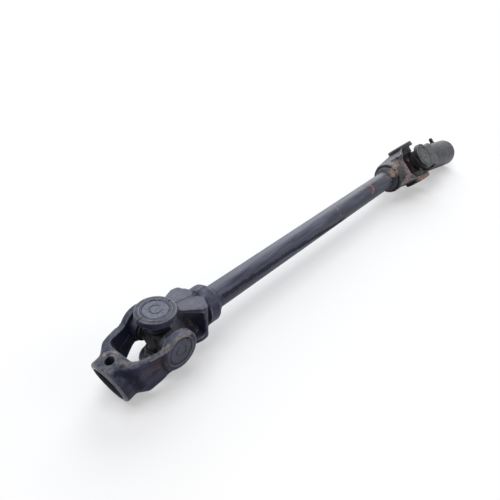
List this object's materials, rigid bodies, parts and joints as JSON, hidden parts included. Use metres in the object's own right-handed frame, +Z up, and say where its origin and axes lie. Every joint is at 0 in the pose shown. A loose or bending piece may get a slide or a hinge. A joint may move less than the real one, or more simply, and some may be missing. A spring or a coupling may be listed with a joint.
{
  "type": "drive shaft universal joint",
  "caption": "Drive shaft bar with a cross-and-yoke universal joint at each end, one ending in a splined yoke, the other in a slip yoke.",
  "frame": {"origin": "under the middle of the assembly as it lies on a floor: bottom centre of its bounding box", "axes": "+X along the bar towards the slip yoke, +Z up, so the splined end yoke is at low X"},
  "size_m": [0.6978, 0.0692, 0.0725],
  "materials": {
    "bar_paint": "worn satin black paint with a blue-grey sheen",
    "front_shaft_yoke_paint": "worn satin black paint over forging skin",
    "rear_shaft_yoke_paint": "worn satin black paint with rust at the neck",
    "end_yoke_paint": "worn satin black paint over forging skin",
    "slip_yoke_paint": "dull grey paint with dust",
    "plug_steel": "dull steel pressing",
    "nipple_steel": "dirty plated steel",
    "front_cross_steel": "dark dirty forging with ground trunnions",
    "rear_cross_steel": "rusty forging with ground trunnions",
    "front_cup_paint": "painted over with the yoke",
    "rear_cup_paint": "painted over with the yoke, rusty skirt",
    "front_roller_steel": "polished and greased",
    "rear_roller_steel": "polished and greased",
    "front_seal_rubber": "matt black rubber",
    "rear_seal_rubber": "matt black rubber",
    "front_ring_steel": "spring steel, painted over",
    "rear_ring_steel": "spring steel, painted over"
  },
  "bodies": {
    "shaft_assembly": {"shaft": "bar_paint", "front_shaft_yoke": "front_shaft_yoke_paint", "rear_shaft_yoke": "rear_shaft_yoke_paint", "front_bearing_cup_upper": "front_cup_paint", "front_needle_rollers_upper": "front_roller_steel", "front_retaining_ring_upper": "front_ring_steel", "front_bearing_cup_lower": "front_cup_paint", "front_needle_rollers_lower": "front_roller_steel", "front_retaining_ring_lower": "front_ring_steel", "rear_bearing_cup_upper": "rear_cup_paint", "rear_needle_rollers_upper": "rear_roller_steel", "rear_retaining_ring_upper": "rear_ring_steel", "rear_bearing_cup_lower": "rear_cup_paint", "rear_needle_rollers_lower": "rear_roller_steel", "rear_retaining_ring_lower": "rear_ring_steel"},
    "front_cross_set": {"front_cross": "front_cross_steel", "front_trunnion_seal_upper": "front_seal_rubber", "front_trunnion_seal_lower": "front_seal_rubber", "front_trunnion_seal_near": "front_seal_rubber", "front_trunnion_seal_far": "front_seal_rubber"},
    "front_end_yoke_set": {"front_end_yoke": "end_yoke_paint", "front_bearing_cup_near": "front_cup_paint", "front_needle_rollers_near": "front_roller_steel", "front_retaining_ring_near": "front_ring_steel", "front_bearing_cup_far": "front_cup_paint", "front_needle_rollers_far": "front_roller_steel", "front_retaining_ring_far": "front_ring_steel"},
    "rear_cross_set": {"rear_cross": "rear_cross_steel", "rear_trunnion_seal_upper": "rear_seal_rubber", "rear_trunnion_seal_lower": "rear_seal_rubber", "rear_trunnion_seal_near": "rear_seal_rubber", "rear_trunnion_seal_far": "rear_seal_rubber"},
    "rear_slip_yoke_set": {"rear_slip_yoke": "slip_yoke_paint", "slip_yoke_plug": "plug_steel", "grease_nipple": "nipple_steel", "rear_bearing_cup_near": "rear_cup_paint", "rear_needle_rollers_near": "rear_roller_steel", "rear_retaining_ring_near": "rear_ring_steel", "rear_bearing_cup_far": "rear_cup_paint", "rear_needle_rollers_far": "rear_roller_steel", "rear_retaining_ring_far": "rear_ring_steel"}
  },
  "joints": [
    {"name": "front_cross_swing", "type": "hinge", "parent": "shaft_assembly", "child": "front_cross_set", "pos_m": [-0.28655, 0, 0.03787], "axis": [0, 0, 1], "range_deg": [-30, 30]},
    {"name": "front_yoke_bend", "type": "hinge", "parent": "front_cross_set", "child": "front_end_yoke_set", "pos_m": [-0.28655, 0, 0.03787], "axis": [0, -1, 0], "range_deg": [-46, 14]},
    {"name": "rear_cross_swing", "type": "hinge", "parent": "shaft_assembly", "child": "rear_cross_set", "pos_m": [0.22045, 0, 0.03787], "axis": [0, 0.6947, 0.7193], "range_deg": [-33, 27]},
    {"name": "rear_yoke_bend", "type": "hinge", "parent": "rear_cross_set", "child": "rear_slip_yoke_set", "pos_m": [0.22045, 0, 0.03787], "axis": [0.0558, -0.7182, 0.6936], "range_deg": [-22, 38]}
  ]
}
